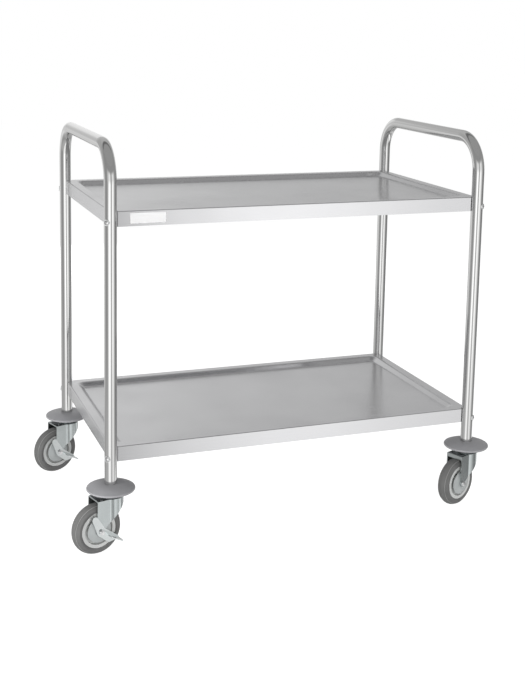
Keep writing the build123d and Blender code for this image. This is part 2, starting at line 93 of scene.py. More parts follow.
class Grain(Enum):
    """Direction that the grinding marks of a metal sheet or tube run in."""

    ALONG_X = (1.0, 0.0, 0.0)
    ALONG_Y = (0.0, 1.0, 0.0)
    ALONG_Z = (0.0, 0.0, 1.0)


class Axis(Enum):
    """Axis that a step in a pattern rises along."""

    Y = "Y"
    Z = "Z"


class Corner(Enum):
    """Corner of the cart that a caster carries, as in the parts' names."""

    FRONT_LEFT = "front_left"
    FRONT_RIGHT = "front_right"
    REAR_LEFT = "rear_left"
    REAR_RIGHT = "rear_right"


class TyreSide(Enum):
    """Side of a tyre, with its way along the axle."""

    NEAR = 1
    FAR = -1


class ShaderSketch:
    """Adds and joins the shader nodes of one material."""

    def __init__(self, name: str) -> None:
        """Start a material with its plain shader.

        Args:
            name: Name of the material.
        """
        self.material = bpy.data.materials.new(name)
        self.material.use_nodes = True
        self.nodes = self.material.node_tree.nodes
        self.links = self.material.node_tree.links
        self.shader = self.nodes["Principled BSDF"]
        self.place = self.nodes.new("ShaderNodeTexCoord").outputs["Object"]

    def noise(self, scale: Triple, detail: float) -> Socket:
        """Add a noise pattern in the piece's own coordinates.

        Args:
            scale: Features per metre along X, Y and Z.
            detail: Octaves of finer noise on top.

        Returns:
            The pattern, from 0 to 1 about a mean of one half.
        """
        mapping = self.nodes.new("ShaderNodeMapping")
        mapping.inputs["Scale"].default_value = scale
        noise = self.nodes.new("ShaderNodeTexNoise")
        noise.inputs["Scale"].default_value = 1.0
        noise.inputs["Detail"].default_value = detail
        self.links.new(self.place, mapping.inputs["Vector"])
        self.links.new(mapping.outputs["Vector"], noise.inputs["Vector"])
        return noise.outputs["Fac"]

    def spread(self, pattern: Socket, low: float, high: float) -> Socket:
        """Stretch a noise pattern over a range of values.

        Args:
            pattern: Noise about a mean of one half.
            low: Value where the pattern is weak.
            high: Value where the pattern is strong.

        Returns:
            The stretched pattern.
        """
        stretch = self.nodes.new("ShaderNodeMapRange")
        stretch.inputs["From Min"].default_value = NOISE_LOW
        stretch.inputs["From Max"].default_value = NOISE_HIGH
        stretch.inputs["To Min"].default_value = low
        stretch.inputs["To Max"].default_value = high
        self.links.new(pattern, stretch.inputs["Value"])
        return stretch.outputs["Result"]

    def tint(self, pattern: Socket, dark: Colour, light: Colour) -> Socket:
        """Turn a noise pattern into a colour between two others.

        Args:
            pattern: Noise about a mean of one half.
            dark: Colour where the pattern is weak.
            light: Colour where the pattern is strong.

        Returns:
            The mixed colour.
        """
        mix = self.nodes.new("ShaderNodeMix")
        mix.data_type = "RGBA"
        mix.inputs["A"].default_value = (*dark, 1.0)
        mix.inputs["B"].default_value = (*light, 1.0)
        self.links.new(self.spread(pattern, 0.0, 1.0), mix.inputs["Factor"])
        return mix.outputs["Result"]

    def level(self, value: float) -> Socket:
        """Add a plain value.

        Args:
            value: The value.

        Returns:
            Its socket.
        """
        node = self.nodes.new("ShaderNodeValue")
        node.outputs["Value"].default_value = value
        return node.outputs["Value"]

    def average(self, first: Socket, second: Socket) -> Socket:
        """Mix two patterns half and half."""
        return self.blend(self.level(0.5), first, second)

    def blend(self, factor: Socket, first: Socket, second: Socket) -> Socket:
        """Mix two patterns.

        Args:
            factor: Share of the second pattern, from 0 to 1.
            first: Pattern where the factor is 0.
            second: Pattern where the factor is 1.

        Returns:
            The mixed pattern.
        """
        mix = self.nodes.new("ShaderNodeMix")
        self.links.new(factor, mix.inputs["Factor"])
        self.links.new(first, mix.inputs["A"])
        self.links.new(second, mix.inputs["B"])
        return mix.outputs["Result"]

    def above(self, height: float, run: float, axis: Axis = Axis.Z) -> Socket:
        """Add a step that rises from 0 to 1 with the height above the floor, or along another axis.

        Args:
            height: Middle of the step.
            run: Stretch over which it rises.
            axis: Axis that both are measured along.

        Returns:
            The step.
        """
        split = self.nodes.new("ShaderNodeSeparateXYZ")
        step = self.nodes.new("ShaderNodeMapRange")
        step.interpolation_type = "SMOOTHSTEP"
        step.inputs["From Min"].default_value = height - run / 2
        step.inputs["From Max"].default_value = height + run / 2
        self.links.new(self.place, split.inputs["Vector"])
        self.links.new(split.outputs[axis.value], step.inputs["Value"])
        return step.outputs["Result"]

    def direction(self, way: Triple) -> Socket:
        """Add a fixed direction.

        Args:
            way: Direction in the piece's own coordinates.

        Returns:
            The direction.
        """
        vector = self.nodes.new("ShaderNodeCombineXYZ")
        for socket, share in zip(vector.inputs, way):
            socket.default_value = share
        return vector.outputs["Vector"]

    def bump(self, height: Socket, depth: float, strength: float) -> None:
        """Roughen the surface by a pattern.

        Args:
            height: Pattern of heights, from 0 to 1.
            depth: Height of the pattern in metres.
            strength: Share of the effect.
        """
        bump = self.nodes.new("ShaderNodeBump")
        bump.inputs["Distance"].default_value = depth
        bump.inputs["Strength"].default_value = strength
        self.links.new(height, bump.inputs["Height"])
        self.links.new(bump.outputs["Normal"], self.shader.inputs["Normal"])

    def drive(self, socket: str, value: Socket) -> None:
        """Join a pattern to one of the shader's sockets."""
        self.links.new(value, self.shader.inputs[socket])


def shaded(colour: Colour, factor: float) -> Colour:
    """Scale each channel of a linear colour by one factor."""
    return tuple(channel * factor for channel in colour)


@dataclass(frozen=True)
class GroundSteel:
    """Stainless sheet or tube with fine grinding marks.

    Attributes:
        name: Name of the material.
        colour: Linear colour of the bare metal.
        colour_spread: Share by which the colour changes between the marks.
        roughness: Least and greatest roughness.
        grain: Direction of the marks.
        turned_grain: Direction of the marks above turn_height, if it differs.
        turn_height: Height where the marks change direction.
        mark_length: Length of a mark.
        mark_width: Width of a mark.
        cloud_size: Size of the faint clouds that handling leaves.
        mark_depth: Depth of the marks.
        mark_strength: Share of that depth that shows.
        mark_detail: Octaves of finer marks.
        cloud_detail: Octaves of finer clouds.
        turn_run: Height over which the marks change direction.
        smear: How far the marks stretch reflections across the grain, from 0 to 1.
    """

    name: str
    colour: Colour
    colour_spread: float
    roughness: tuple[float, float]
    grain: Grain
    turned_grain: Grain | None = None
    turn_height: float = 0.0
    mark_length: float = 0.25
    mark_width: float = 0.7 * MM
    cloud_size: float = 0.12
    mark_depth: float = 0.004 * MM
    mark_strength: float = 0.5
    mark_detail: float = 3.0
    cloud_detail: float = 2.0
    turn_run: float = 40 * MM
    smear: float = 0.0

    def marks(self, sketch: ShaderSketch, grain: Grain) -> Socket:
        """Add the pattern of grinding marks that run in one direction."""
        scale = tuple(1 / self.mark_length if along else 1 / self.mark_width for along in grain.value)
        return sketch.noise(scale, self.mark_detail)

    def material(self) -> bpy.types.Material:
        """Build the material.

        Returns:
            A metal whose roughness and colour follow its grinding marks.
        """
        sketch = ShaderSketch(self.name)
        marks = self.marks(sketch, self.grain)
        if self.turned_grain is not None:
            turned = self.marks(sketch, self.turned_grain)
            marks = sketch.blend(sketch.above(self.turn_height, self.turn_run), marks, turned)
        cloud = sketch.noise((1 / self.cloud_size,) * 3, self.cloud_detail)
        worn = sketch.average(marks, cloud)
        sketch.shader.inputs["Metallic"].default_value = 1.0
        dark = shaded(self.colour, 1 - self.colour_spread)
        light = shaded(self.colour, 1 + self.colour_spread)
        sketch.drive("Base Color", sketch.tint(marks, dark, light))
        sketch.drive("Roughness", sketch.spread(worn, *self.roughness))
        sketch.bump(marks, self.mark_depth, self.mark_strength)
        if self.smear > 0:
            sketch.shader.inputs["Anisotropic"].default_value = self.smear
            sketch.shader.inputs["Anisotropic Rotation"].default_value = QUARTER_TURN
            sketch.drive("Tangent", sketch.direction(self.grain.value))
        return sketch.material


@dataclass(frozen=True)
class PlatedSteel:
    """Zinc plate on pressed or turned steel: bright, faintly clouded.

    Attributes:
        name: Name of the material.
        colour: Linear colour of the plate.
        dull_colour: Linear colour of its duller clouds.
        roughness: Least and greatest roughness.
        cloud_size: Size of the clouds.
        cloud_detail: Octaves of finer clouds.
        ripple_depth: Height of the ripple that pressing leaves.
        ripple_strength: Share of that height that shows.
        ripple_detail: Octaves of finer ripple.
    """

    name: str
    colour: Colour
    dull_colour: Colour
    roughness: tuple[float, float]
    cloud_size: float = 30 * MM
    cloud_detail: float = 2.0
    ripple_depth: float = 0.03 * MM
    ripple_strength: float = 0.6
    ripple_detail: float = 1.0

    def material(self) -> bpy.types.Material:
        """Build the material.

        Returns:
            A metal with clouded colour and roughness.
        """
        sketch = ShaderSketch(self.name)
        cloud = sketch.noise((1 / self.cloud_size,) * 3, self.cloud_detail)
        ripple = sketch.noise((1 / self.cloud_size,) * 3, self.ripple_detail)
        sketch.shader.inputs["Metallic"].default_value = 1.0
        sketch.drive("Base Color", sketch.tint(cloud, self.dull_colour, self.colour))
        sketch.drive("Roughness", sketch.spread(cloud, *self.roughness))
        sketch.bump(ripple, self.ripple_depth, self.ripple_strength)
        return sketch.material


@dataclass(frozen=True)
class Moulding:
    """Moulded plastic or rubber with a fine eroded skin.

    Attributes:
        name: Name of the material.
        colour: Linear colour.
        colour_spread: Share by which the colour changes over the piece.
        roughness: Least and greatest roughness.
        skin_size: Size of the skin's grains.
        skin_depth: Height of the skin's grains.
        skin_strength: Share of that height that shows.
        skin_detail: Octaves of finer grains.
        cloud_size: Size of the faint flow clouds in the colour.
        cloud_detail: Octaves of finer clouds.
    """

    name: str
    colour: Colour
    colour_spread: float
    roughness: tuple[float, float]
    skin_size: float = 0.8 * MM
    skin_depth: float = 0.03 * MM
    skin_strength: float = 0.7
    skin_detail: float = 2.0
    cloud_size: float = 25 * MM
    cloud_detail: float = 5.0

    def material(self) -> bpy.types.Material:
        """Build the material.

        Returns:
            A plastic with a clouded colour and a fine skin.
        """
        sketch = ShaderSketch(self.name)
        cloud = sketch.noise((1 / self.cloud_size,) * 3, self.cloud_detail)
        skin = sketch.noise((1 / self.skin_size,) * 3, self.skin_detail)
        dark = shaded(self.colour, 1 - self.colour_spread)
        light = shaded(self.colour, 1 + self.colour_spread)
        sketch.drive("Base Color", sketch.tint(cloud, dark, light))
        sketch.drive("Roughness", sketch.spread(cloud, *self.roughness))
        sketch.bump(skin, self.skin_depth, self.skin_strength)
        return sketch.material


TUBE_STEEL = GroundSteel(
    "polished_tube",
    (0.70, 0.70, 0.695),
    0.03,
    (0.06, 0.11),
    Grain.ALONG_Z,
    turned_grain=Grain.ALONG_Y,
    turn_height=0.75,
)
TRAY_STEEL = GroundSteel(
    "satin_sheet", (0.69, 0.69, 0.70), 0.025, (0.20, 0.28), Grain.ALONG_X, smear=0.8
)
# The brake levers take a lighter copy of the forks' zinc plate: the extra lightness is painted light, standing in
# for the levers' bright highlights.
LIT_LEVER_ZINC = PlatedSteel("lever_plate", (0.70, 0.73, 0.73), (0.66, 0.69, 0.69), (0.12, 0.20))
BRIGHT_STEEL = PlatedSteel("bright_fastener", (0.80, 0.80, 0.80), (0.72, 0.72, 0.73), (0.15, 0.25))
ZINC = PlatedSteel("zinc_plate", (0.55, 0.585, 0.585), (0.51, 0.545, 0.545), (0.12, 0.20))
BUMPER_PLASTIC = Moulding("bumper_plastic", (0.375, 0.375, 0.39), 0.04, (0.30, 0.40))
GUARD_PLASTIC = Moulding("guard_plastic", (0.49, 0.515, 0.515), 0.04, (0.28, 0.40))
WHEEL_PLASTIC = Moulding("wheel_plastic", (0.68, 0.69, 0.68), 0.04, (0.35, 0.5))
WASHER_PLASTIC = Moulding("washer_plastic", (0.62, 0.63, 0.63), 0.04, (0.35, 0.5))
TYRE_RUBBER = Moulding(
    "tyre_rubber", (0.155, 0.155, 0.153), 0.10, (0.45, 0.62), skin_size=1.1 * MM, skin_depth=0.05 * MM
)
# The ribs' light grey, over twice as light as the tyre's rubber, is a painted highlight: it draws the bright line
# along each tyre shoulder.
RIB_PAINTED_HIGHLIGHT = Moulding("tyre_rib_rubber", (0.34, 0.34, 0.335), 0.08, (0.35, 0.5))
EXPANDER_RUBBER = Moulding("expander_rubber", (0.03, 0.03, 0.03), 0.10, (0.5, 0.65))
LABEL_ENAMEL = Moulding("label_enamel", (0.93, 0.93, 0.93), 0.01, (0.25, 0.35), skin_depth=0.01 * MM)

Finish = GroundSteel | PlatedSteel | Moulding
SLOT_FINISHES: dict[str, Finish] = {
    "tube_steel": TUBE_STEEL,
    "tray_steel": TRAY_STEEL,
    "fastener_steel": BRIGHT_STEEL,
    "caster_zinc": ZINC,
    "washer_plastic": WASHER_PLASTIC,
    "bumper_plastic": BUMPER_PLASTIC,
    "expander_rubber": EXPANDER_RUBBER,
    "guard_plastic": GUARD_PLASTIC,
    "wheel_plastic": WHEEL_PLASTIC,
    "tyre_rubber": TYRE_RUBBER,
}


class PaintShop:
    """Makes each finish once and hands its material to the pieces."""

    def __init__(self) -> None:
        """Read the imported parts' slots from the record, and start with no material made."""
        self.slots = {part["node"]: part["material_slot"] for part in frame["record"]["subparts"]}
        self.made: dict[str, bpy.types.Material] = {}

    def coat(self, piece: Piece, finish: Finish) -> None:
        """Give a piece one finish all over.

        Args:
            piece: Mesh object.
            finish: Finish that it takes.
        """
        if finish.name not in self.made:
            self.made[finish.name] = finish.material()
        piece.data.materials.clear()
        piece.data.materials.append(self.made[finish.name])

    def coat_node(self, node: str) -> None:
        """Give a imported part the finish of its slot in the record.

        Args:
            node: Name of the part.
        """
        slot = self.slots[node]
        self.coat(frame["nodes"][node], SLOT_FINISHES[slot])
        log.info("part %s: %s", node, slot)


def deselect_all() -> None:
    """Leave object mode with nothing selected."""
    if bpy.context.object is not None and bpy.context.object.mode != "OBJECT":
        bpy.ops.object.mode_set(mode="OBJECT")
    bpy.ops.object.select_all(action="DESELECT")


def edit(piece: Piece) -> None:
    """Open one piece in edit mode.

    Args:
        piece: Piece to open.
    """
    deselect_all()
    bpy.context.view_layer.objects.active = piece
    piece.select_set(True)
    bpy.ops.object.mode_set(mode="EDIT")


def pick_faces(piece: Piece, test: Callable[[bmesh.types.BMFace], bool]) -> None:
    """Select the faces of a piece in edit mode that pass a test.

    Args:
        piece: Piece that is open in edit mode.
        test: Says whether a face is selected.
    """
    bpy.ops.mesh.select_mode(type="FACE")
    bpy.ops.mesh.select_all(action="DESELECT")
    mesh = bmesh.from_edit_mesh(piece.data)
    for face in mesh.faces:
        face.select_set(test(face))
    bmesh.update_edit_mesh(piece.data)


def pick_edges(piece: Piece, test: Callable[[bmesh.types.BMEdge], bool]) -> None:
    """Select the edges of a piece in edit mode that pass a test.

    Args:
        piece: Piece that is open in edit mode.
        test: Says whether an edge is selected.
    """
    bpy.ops.mesh.select_mode(type="EDGE")
    bpy.ops.mesh.select_all(action="DESELECT")
    mesh = bmesh.from_edit_mesh(piece.data)
    for edge in mesh.edges:
        edge.select_set(test(edge))
    bmesh.update_edit_mesh(piece.data)


def looks_up(face: bmesh.types.BMFace) -> bool:
    """Say whether a face is level and looks up."""
    return face.normal.z > LEVEL_FACING


def looks_down(face: bmesh.types.BMFace) -> bool:
    """Say whether a face is level and looks down."""
    return face.normal.z < -LEVEL_FACING


def new_piece(name: str) -> Piece:
    """Name the object that an operator has just added.

    Args:
        name: Name of the piece.

    Returns:
        The object.
    """
    piece = bpy.context.object
    piece.name = name
    piece.data.name = name
    return piece


def settle(piece: Piece, place: Matrix, smooth_angle: float = math.radians(30)) -> None:
    """Move a piece that was modelled about the origin to its place, and smooth it.

    Args:
        piece: Piece to move. Its place ends up in its mesh.
        place: Where its own axes go.
        smooth_angle: Edges sharper than this stay sharp.
    """
    deselect_all()
    bpy.context.view_layer.objects.active = piece
    piece.select_set(True)
    piece.matrix_world = place
    bpy.ops.object.transform_apply(location=True, rotation=True, scale=True)
    bpy.ops.object.shade_smooth_by_angle(angle=smooth_angle)


def copy_of(piece: Piece, name: str) -> Piece:
    """Copy a piece with a mesh of its own.

    Args:
        piece: Piece to copy.
        name: Name of the copy.

    Returns:
        The copy.
    """
    copy = piece.copy()
    copy.data = piece.data.copy()
    copy.name = name
    copy.data.name = name
    bpy.context.scene.collection.objects.link(copy)
    return copy


def along(origin: Vector, axis: Vector) -> Matrix:
    """Frame that stands at an origin, with its Z along an axis."""
    return Matrix.Translation(origin) @ axis.to_track_quat("Z", "Y").to_matrix().to_4x4()


@dataclass
class HandleFrames:
    """The two bent tubes that are posts and push handles at once.

    Attributes:
        nodes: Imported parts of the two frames.
    """

    nodes: tuple[str, str] = ("left_handle_frame", "right_handle_frame")

    def dress(self, shop: PaintShop) -> None:
        """Polish both tubes."""
        for node in self.nodes:
            shop.coat_node(node)


@dataclass
class Trays:
    """The two pressed trays, and the bare label plate on the upper one's front skirt.

    Attributes:
        nodes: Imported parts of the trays, the labelled one first.
        plate_width: Width of the label plate.
        plate_height: Height of the label plate.
        plate_thickness: Thickness of the label plate.
        plate_corner: Radius of its corners.
        corner_steps: Faces round a corner.
        plate_edge: Radius of its front edge.
        edge_steps: Faces round that edge.
        plate_from_end: Gap from the skirt's left end to the plate.
        plate_from_rim: Gap from the tray's rim to the plate.
        border: Width of the plate's flat border.
        border_step: Depth that its field is sunk below the border.
    """

    nodes: tuple[str, str] = ("top_tray", "lower_tray")
    plate_width: float = 71 * MM
    plate_height: float = 20.5 * MM
    plate_thickness: float = 0.6 * MM
    plate_corner: float = 1.2 * MM
    corner_steps: int = 5
    plate_edge: float = 0.2 * MM
    edge_steps: int = 2
    plate_from_end: float = 39 * MM
    plate_from_rim: float = 4.5 * MM
    border: float = 0.9 * MM
    border_step: float = 0.1 * MM

    def build(self) -> Piece:
        """Model the label plate on the front skirt.

        Returns:
            The plate.
        """
        low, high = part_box(self.nodes[0])
        middle = Vector((
            low.x + self.plate_from_end + self.plate_width / 2,
            low.y,
            high.z - self.plate_from_rim - self.plate_height / 2,
        ))
        deselect_all()
        bpy.ops.mesh.primitive_plane_add(size=1)
        plate = new_piece("label_plate")
        edit(plate)
        bpy.ops.mesh.select_all(action="SELECT")
        bpy.ops.transform.resize(value=(self.plate_width, self.plate_height, 1))
        bpy.ops.mesh.extrude_region_move(TRANSFORM_OT_translate={"value": (0, 0, self.plate_thickness)})
        pick_edges(plate, lambda edge: abs(edge.verts[0].co.z - edge.verts[1].co.z) > PICK_ROOM)
        bpy.ops.mesh.bevel(offset=self.plate_corner, segments=self.corner_steps)
        pick_faces(plate, looks_up)
        bpy.ops.mesh.bevel(offset=self.plate_edge, segments=self.edge_steps)
        pick_faces(plate, looks_up)
        bpy.ops.mesh.inset(thickness=self.border, depth=0.0)
        bpy.ops.mesh.inset(thickness=self.border_step, depth=-self.border_step)
        bpy.ops.object.mode_set(mode="OBJECT")
        settle(plate, Matrix.Translation(middle) @ STAND_UP)
        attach(plate, CART_BODY)
        return plate

    def dress(self, shop: PaintShop, plate: Piece) -> None:
        """Grind the trays and enamel the plate.

        Args:
            shop: Maker of the materials.
            plate: The label plate.
        """
        for node in self.nodes:
            shop.coat_node(node)
        shop.coat(plate, LABEL_ENAMEL)


@dataclass
class Fixings:
    """Bolts, saddle washers and nuts of the tray corners, and the tube expanders with their stems.

    Attributes:
        nodes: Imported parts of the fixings.
    """

    nodes: tuple[str, ...] = (
        "tray_bolts",
        "outer_saddle_washers",
        "inner_saddle_washers",
        "tray_nuts",
        "expander_sleeves",
        "expander_cones",
        "stem_bolts",
        "thrust_washers",
        "upper_races",
    )

    def dress(self, shop: PaintShop) -> None:
        """Plate the metal pieces and mould the others."""
        for node in self.nodes:
            shop.coat_node(node)


@dataclass
class CasterTrim:
    """Turned pieces of a caster, modelled once about the origin and copied to every corner.

    Attributes:
        nut_flats: Width of the axle's locknut across its flats.
        flats_height: Height of its six flats.
        face_radius: Radius that the chamfer leaves on its end faces.
        chamfer_slope: Slope of the chamfer on its corners.
        collar_radius: Radius of the round collar on the flats.
        collar_height: Height of the collar.
        collar_round: Radius of the collar's upper edge.
        collar_steps: Faces round that edge.
        bore_radius: Radius of the nut's bore.
        blank_share: Radius of the round blank as a share of the flats, to reach past the corners.
        blank_sides: Faces round the blank.
        rib_width: Width of the mould rib on a tyre's shoulder.
        rib_round: Radius of the rib's corners.
        rib_corner_steps: Faces round a corner of the rib.
        rib_radius: Distance of the rib from the axle.
        rib_steps: Faces round the rib.
    """

    nut_flats: float = 10 * MM
    flats_height: float = 3.5 * MM
    face_radius: float = 4.75 * MM
    chamfer_slope: float = math.radians(30)
    collar_radius: float = 4.2 * MM
    collar_height: float = 1.5 * MM
    collar_round: float = 0.5 * MM
    collar_steps: int = 3
    bore_radius: float = 3.02 * MM
    blank_share: float = 0.62
    blank_sides: int = 48
    rib_width: float = 0.9 * MM
    rib_round: float = 0.25 * MM
    rib_corner_steps: int = 2
    rib_radius: float = 48.5 * MM
    rib_steps: int = 120

    def chamfered_blank(self) -> Piece:
        """Model the round blank that a nut's six flats are cut from.

        Returns:
            A short drum with coned ends, wider than the nut's corners.
        """
        wide = self.nut_flats * self.blank_share
        drop = (wide - self.face_radius) * math.tan(self.chamfer_slope)
        deselect_all()
        bpy.ops.mesh.primitive_cylinder_add(
            vertices=self.blank_sides, radius=wide, depth=self.flats_height - 2 * drop
        )
        blank = new_piece("nut_blank")
        edit(blank)
        taper = self.face_radius / wide
        for is_end, rise in ((looks_up, drop), (looks_down, -drop)):
            pick_faces(blank, is_end)
            bpy.ops.mesh.extrude_region_move(TRANSFORM_OT_translate={"value": (0, 0, rise)})
            bpy.ops.transform.resize(value=(taper, taper, 1))
        bpy.ops.object.mode_set(mode="OBJECT")
        return blank

    def locknut(self) -> Piece:
        """Model an axle's locknut: chamfered flats, a round collar and the bore.

        Returns:
            The nut about the origin, with its collar up.
        """
        blank = self.chamfered_blank()
        deselect_all()
        bpy.ops.mesh.primitive_cylinder_add(
            vertices=6, radius=self.nut_flats / math.sqrt(3), depth=2 * self.flats_height
        )
        nut = new_piece("axle_locknut")
        flats = nut.modifiers.new("flats", "BOOLEAN")
        flats.operation = "INTERSECT"
        flats.object = blank
        bpy.ops.object.modifier_apply(modifier=flats.name)
        bpy.data.objects.remove(blank)
        edit(nut)
        pick_faces(nut, looks_up)
        bpy.ops.mesh.inset(thickness=self.face_radius - self.collar_radius)
        bpy.ops.mesh.extrude_region_move(TRANSFORM_OT_translate={"value": (0, 0, self.collar_height)})
        bpy.ops.mesh.bevel(offset=self.collar_round, segments=self.collar_steps)
        pick_faces(nut, self.is_collar_top)
        bpy.ops.mesh.inset(thickness=self.collar_radius - self.collar_round - self.bore_radius)
        pick_faces(nut, looks_down)
        bpy.ops.mesh.inset(thickness=self.face_radius - self.bore_radius)
        pick_faces(nut, self.is_bore_end)
        bpy.ops.mesh.bridge_edge_loops()
        bpy.ops.mesh.select_all(action="SELECT")
        bpy.ops.transform.translate(value=(0, 0, -self.collar_height / 2))
        bpy.ops.mesh.normals_make_consistent(inside=False)
        bpy.ops.object.mode_set(mode="OBJECT")
        return nut

    def is_collar_top(self, face: bmesh.types.BMFace) -> bool:
        """Say whether a face of the nut is the top of its collar."""
        top = self.flats_height / 2 + self.collar_height
        return looks_up(face) and face.calc_center_median().z > top - PICK_ROOM

    def is_bore_end(self, face: bmesh.types.BMFace) -> bool:
        """Say whether a face of the nut closes its bore."""
        reach = max(vert.co.xy.length for vert in face.verts)
        return (looks_up(face) or looks_down(face)) and reach < self.bore_radius + PICK_ROOM

    def shoulder_rib(self) -> Piece:
        """Model the mould rib that runs round a tyre's shoulder.

        Returns:
            The rib, a ring about the origin's Y axis.
        """
        deselect_all()
        bpy.ops.mesh.primitive_plane_add(size=self.rib_width)
        rib = new_piece("tyre_rib")
        edit(rib)
        bpy.ops.mesh.select_all(action="SELECT")
        bpy.ops.mesh.bevel(offset=self.rib_round, segments=self.rib_corner_steps, affect="VERTICES")
        bpy.ops.mesh.select_all(action="SELECT")
        bpy.ops.transform.translate(value=(self.rib_radius, 0, 0))
        bpy.ops.mesh.delete(type="ONLY_FACE")
        bpy.ops.mesh.select_all(action="SELECT")
        bpy.ops.mesh.spin(steps=self.rib_steps, angle=math.tau, center=(0, 0, 0), axis=(0, 1, 0))
        bpy.ops.mesh.select_all(action="SELECT")
        bpy.ops.mesh.remove_doubles(threshold=MERGE_GAP)
        bpy.ops.mesh.normals_make_consistent(inside=False)
        bpy.ops.object.mode_set(mode="OBJECT")
        return rib


@dataclass
class Caster:
    """One swivel caster: bumper, bearing, fork, wheel and, on the left side, the brake.

    Attributes:
        corner: Corner of the cart that it carries.
        fixed_parts: Parts that stay with the cart.
        turning_parts: Parts that swivel, roll or brake, where the caster has them.
        tread_half_width: Half the width between the tyre's two shoulder ribs.
        axle: Where the axle crosses the wheel's middle.
        axle_way: Direction of the axle, towards the near side.
    """

    corner: Corner
    fixed_parts: tuple[str, ...] = ("bumper",)
    turning_parts: tuple[str, ...] = (
        "bearing_balls",
        "fork",
        "axle_bolt",
        "axle_nut",
        "axle_bush",
        "thread_guards",
        "wheel_core",
        "tyre",
        "brake_cam",
        "brake_lever",
    )
    tread_half_width: float = 9 * MM
    axle: Vector = field(init=False)
    axle_way: Vector = field(init=False)

    def __post_init__(self) -> None:
        """Find the axle from the wheel's own joint."""
        roll = next(joint for joint in frame["joints"] if joint["name"] == self.own("roll"))
        self.axle = Vector(roll["pos_m"])
        self.axle_way = Vector(roll["axis"])

    def own(self, name: str) -> str:
        """Name of one of this caster's own parts, pieces, joints or bodies."""
        return f"{self.corner.value}_{name}"

    def build(self, nut: Piece, rib: Piece) -> tuple[Piece, ...]:
        """Fit copies of the locknut and of the two ribs, and give them back in that order."""
        return (self.fit_nut(nut), *(self.fit_rib(rib, side) for side in TyreSide))

    def fit_nut(self, nut: Piece) -> Piece:
        """Put a locknut on the axle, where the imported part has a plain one.

        Args:
            nut: Locknut to copy.

        Returns:
            The copy.
        """
        locknut = copy_of(nut, self.own("locknut"))
        node = self.own("axle_nut")
        low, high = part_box(node)
        middle = (low + high) / 2
        way = self.axle_way * math.copysign(1, (middle - self.axle).dot(self.axle_way))
        settle(locknut, along(middle, way))
        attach(locknut, self.own("swivel"))
        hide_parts(node)
        return locknut

    def fit_rib(self, rib: Piece, side: TyreSide) -> Piece:
        """Put a mould rib on one shoulder of the tyre.

        Args:
            rib: Mould rib to copy.
            side: Side of the tyre.

        Returns:
            The copy.
        """
        ring = copy_of(rib, self.own(f"{side.name.lower()}_tyre_rib"))
        place = along(self.axle + self.axle_way * side.value * self.tread_half_width, self.axle_way)
        settle(ring, place @ STAND_UP)
        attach(ring, self.own("wheel"))
        return ring

    def dress(self, shop: PaintShop, pieces: tuple[Piece, ...]) -> None:
        """Finish every part that this caster has, and its new pieces.

        Args:
            shop: Maker of the materials.
            pieces: The locknut and the tyre's ribs.
        """
        for part in self.fixed_parts + self.turning_parts:
            node = self.own(part)
            if node in frame["nodes"]:
                shop.coat_node(node)
        # The lever's slot gives it the forks' zinc plate; it gets the lighter copy instead, which is painted
        # light.
        lever = self.own("brake_lever")
        if lever in frame["nodes"]:
            shop.coat(frame["nodes"][lever], LIT_LEVER_ZINC)
        locknut, *ribs = pieces
        shop.coat(locknut, BRIGHT_STEEL)
        # Each rib takes the light grey that paints the shoulder's highlight line.
        for rib in ribs:
            shop.coat(rib, RIB_PAINTED_HIGHLIGHT)


@dataclass(frozen=True)
class Belt:
    """Ring of the surround whose brightness changes round the cart.

    Attributes:
        glow: Azimuths in degrees, from -Y towards +X, and the brightness at each.
        start: Height where the belt begins to take over from the one below.
        full: Height where it has taken over.
    """

    glow: Stops
    start: float
    full: float


# Brightness of both the lowest belts from the left round to the front.
LOW_LEFT_GLOW: Stops = (
    (-120, 0.40), (-98, 0.50), (-85, 0.56), (-64, 0.54), (-50, 0.95), (-40, 1.25), (-28, 1.32),
    (-16, 0.90), (-8, 0.60), (1, 0.42),
)
BASE_BELT = Belt(
    (
        (-180, 0.48), (-160, 0.52), (-148, 0.52), *LOW_LEFT_GLOW, (10, 0.90), (22, 1.12), (34, 0.94),
        (44, 0.80), (54, 0.72), (64, 1.05), (74, 1.70), (82, 1.10), (92, 0.42), (106, 0.42),
        (120, 0.75), (136, 0.40), (160, 0.44), (180, 0.48),
    ),
    start=-2.2,
    full=-2.2,
)
FOOT_BELT = Belt(
    (
        (-180, 0.52), (-160, 0.64), (-148, 0.60), *LOW_LEFT_GLOW, (6, 0.68), (10, 0.90), (15, 1.00),
        (22, 1.12), (28, 0.98), (34, 0.94), (40, 0.80), (52, 0.52), (66, 0.30), (82, 0.30), (95, 0.64),
        (108, 1.05), (120, 1.00), (136, 0.45), (160, 0.46), (180, 0.52),
    ),
    start=-1.25,
    full=-1.05,
)
WALL_BELT = Belt(
    (
        (-180, 0.62), (-165, 0.70), (-150, 0.92), (-130, 0.84), (-112, 0.54), (-95, 0.38), (-75, 0.35),
        (-62, 0.44), (-50, 0.88), (-40, 1.30), (-28, 1.75), (-16, 1.18), (-8, 0.66), (0, 0.36),
        (5, 0.70), (10, 1.18), (18, 1.46), (24, 1.38), (32, 1.08), (42, 1.00), (52, 0.58), (66, 0.31),
        (92, 0.23), (140, 0.44), (160, 0.56), (180, 0.62),
    ),
    start=-0.9,
    full=-0.2,
)
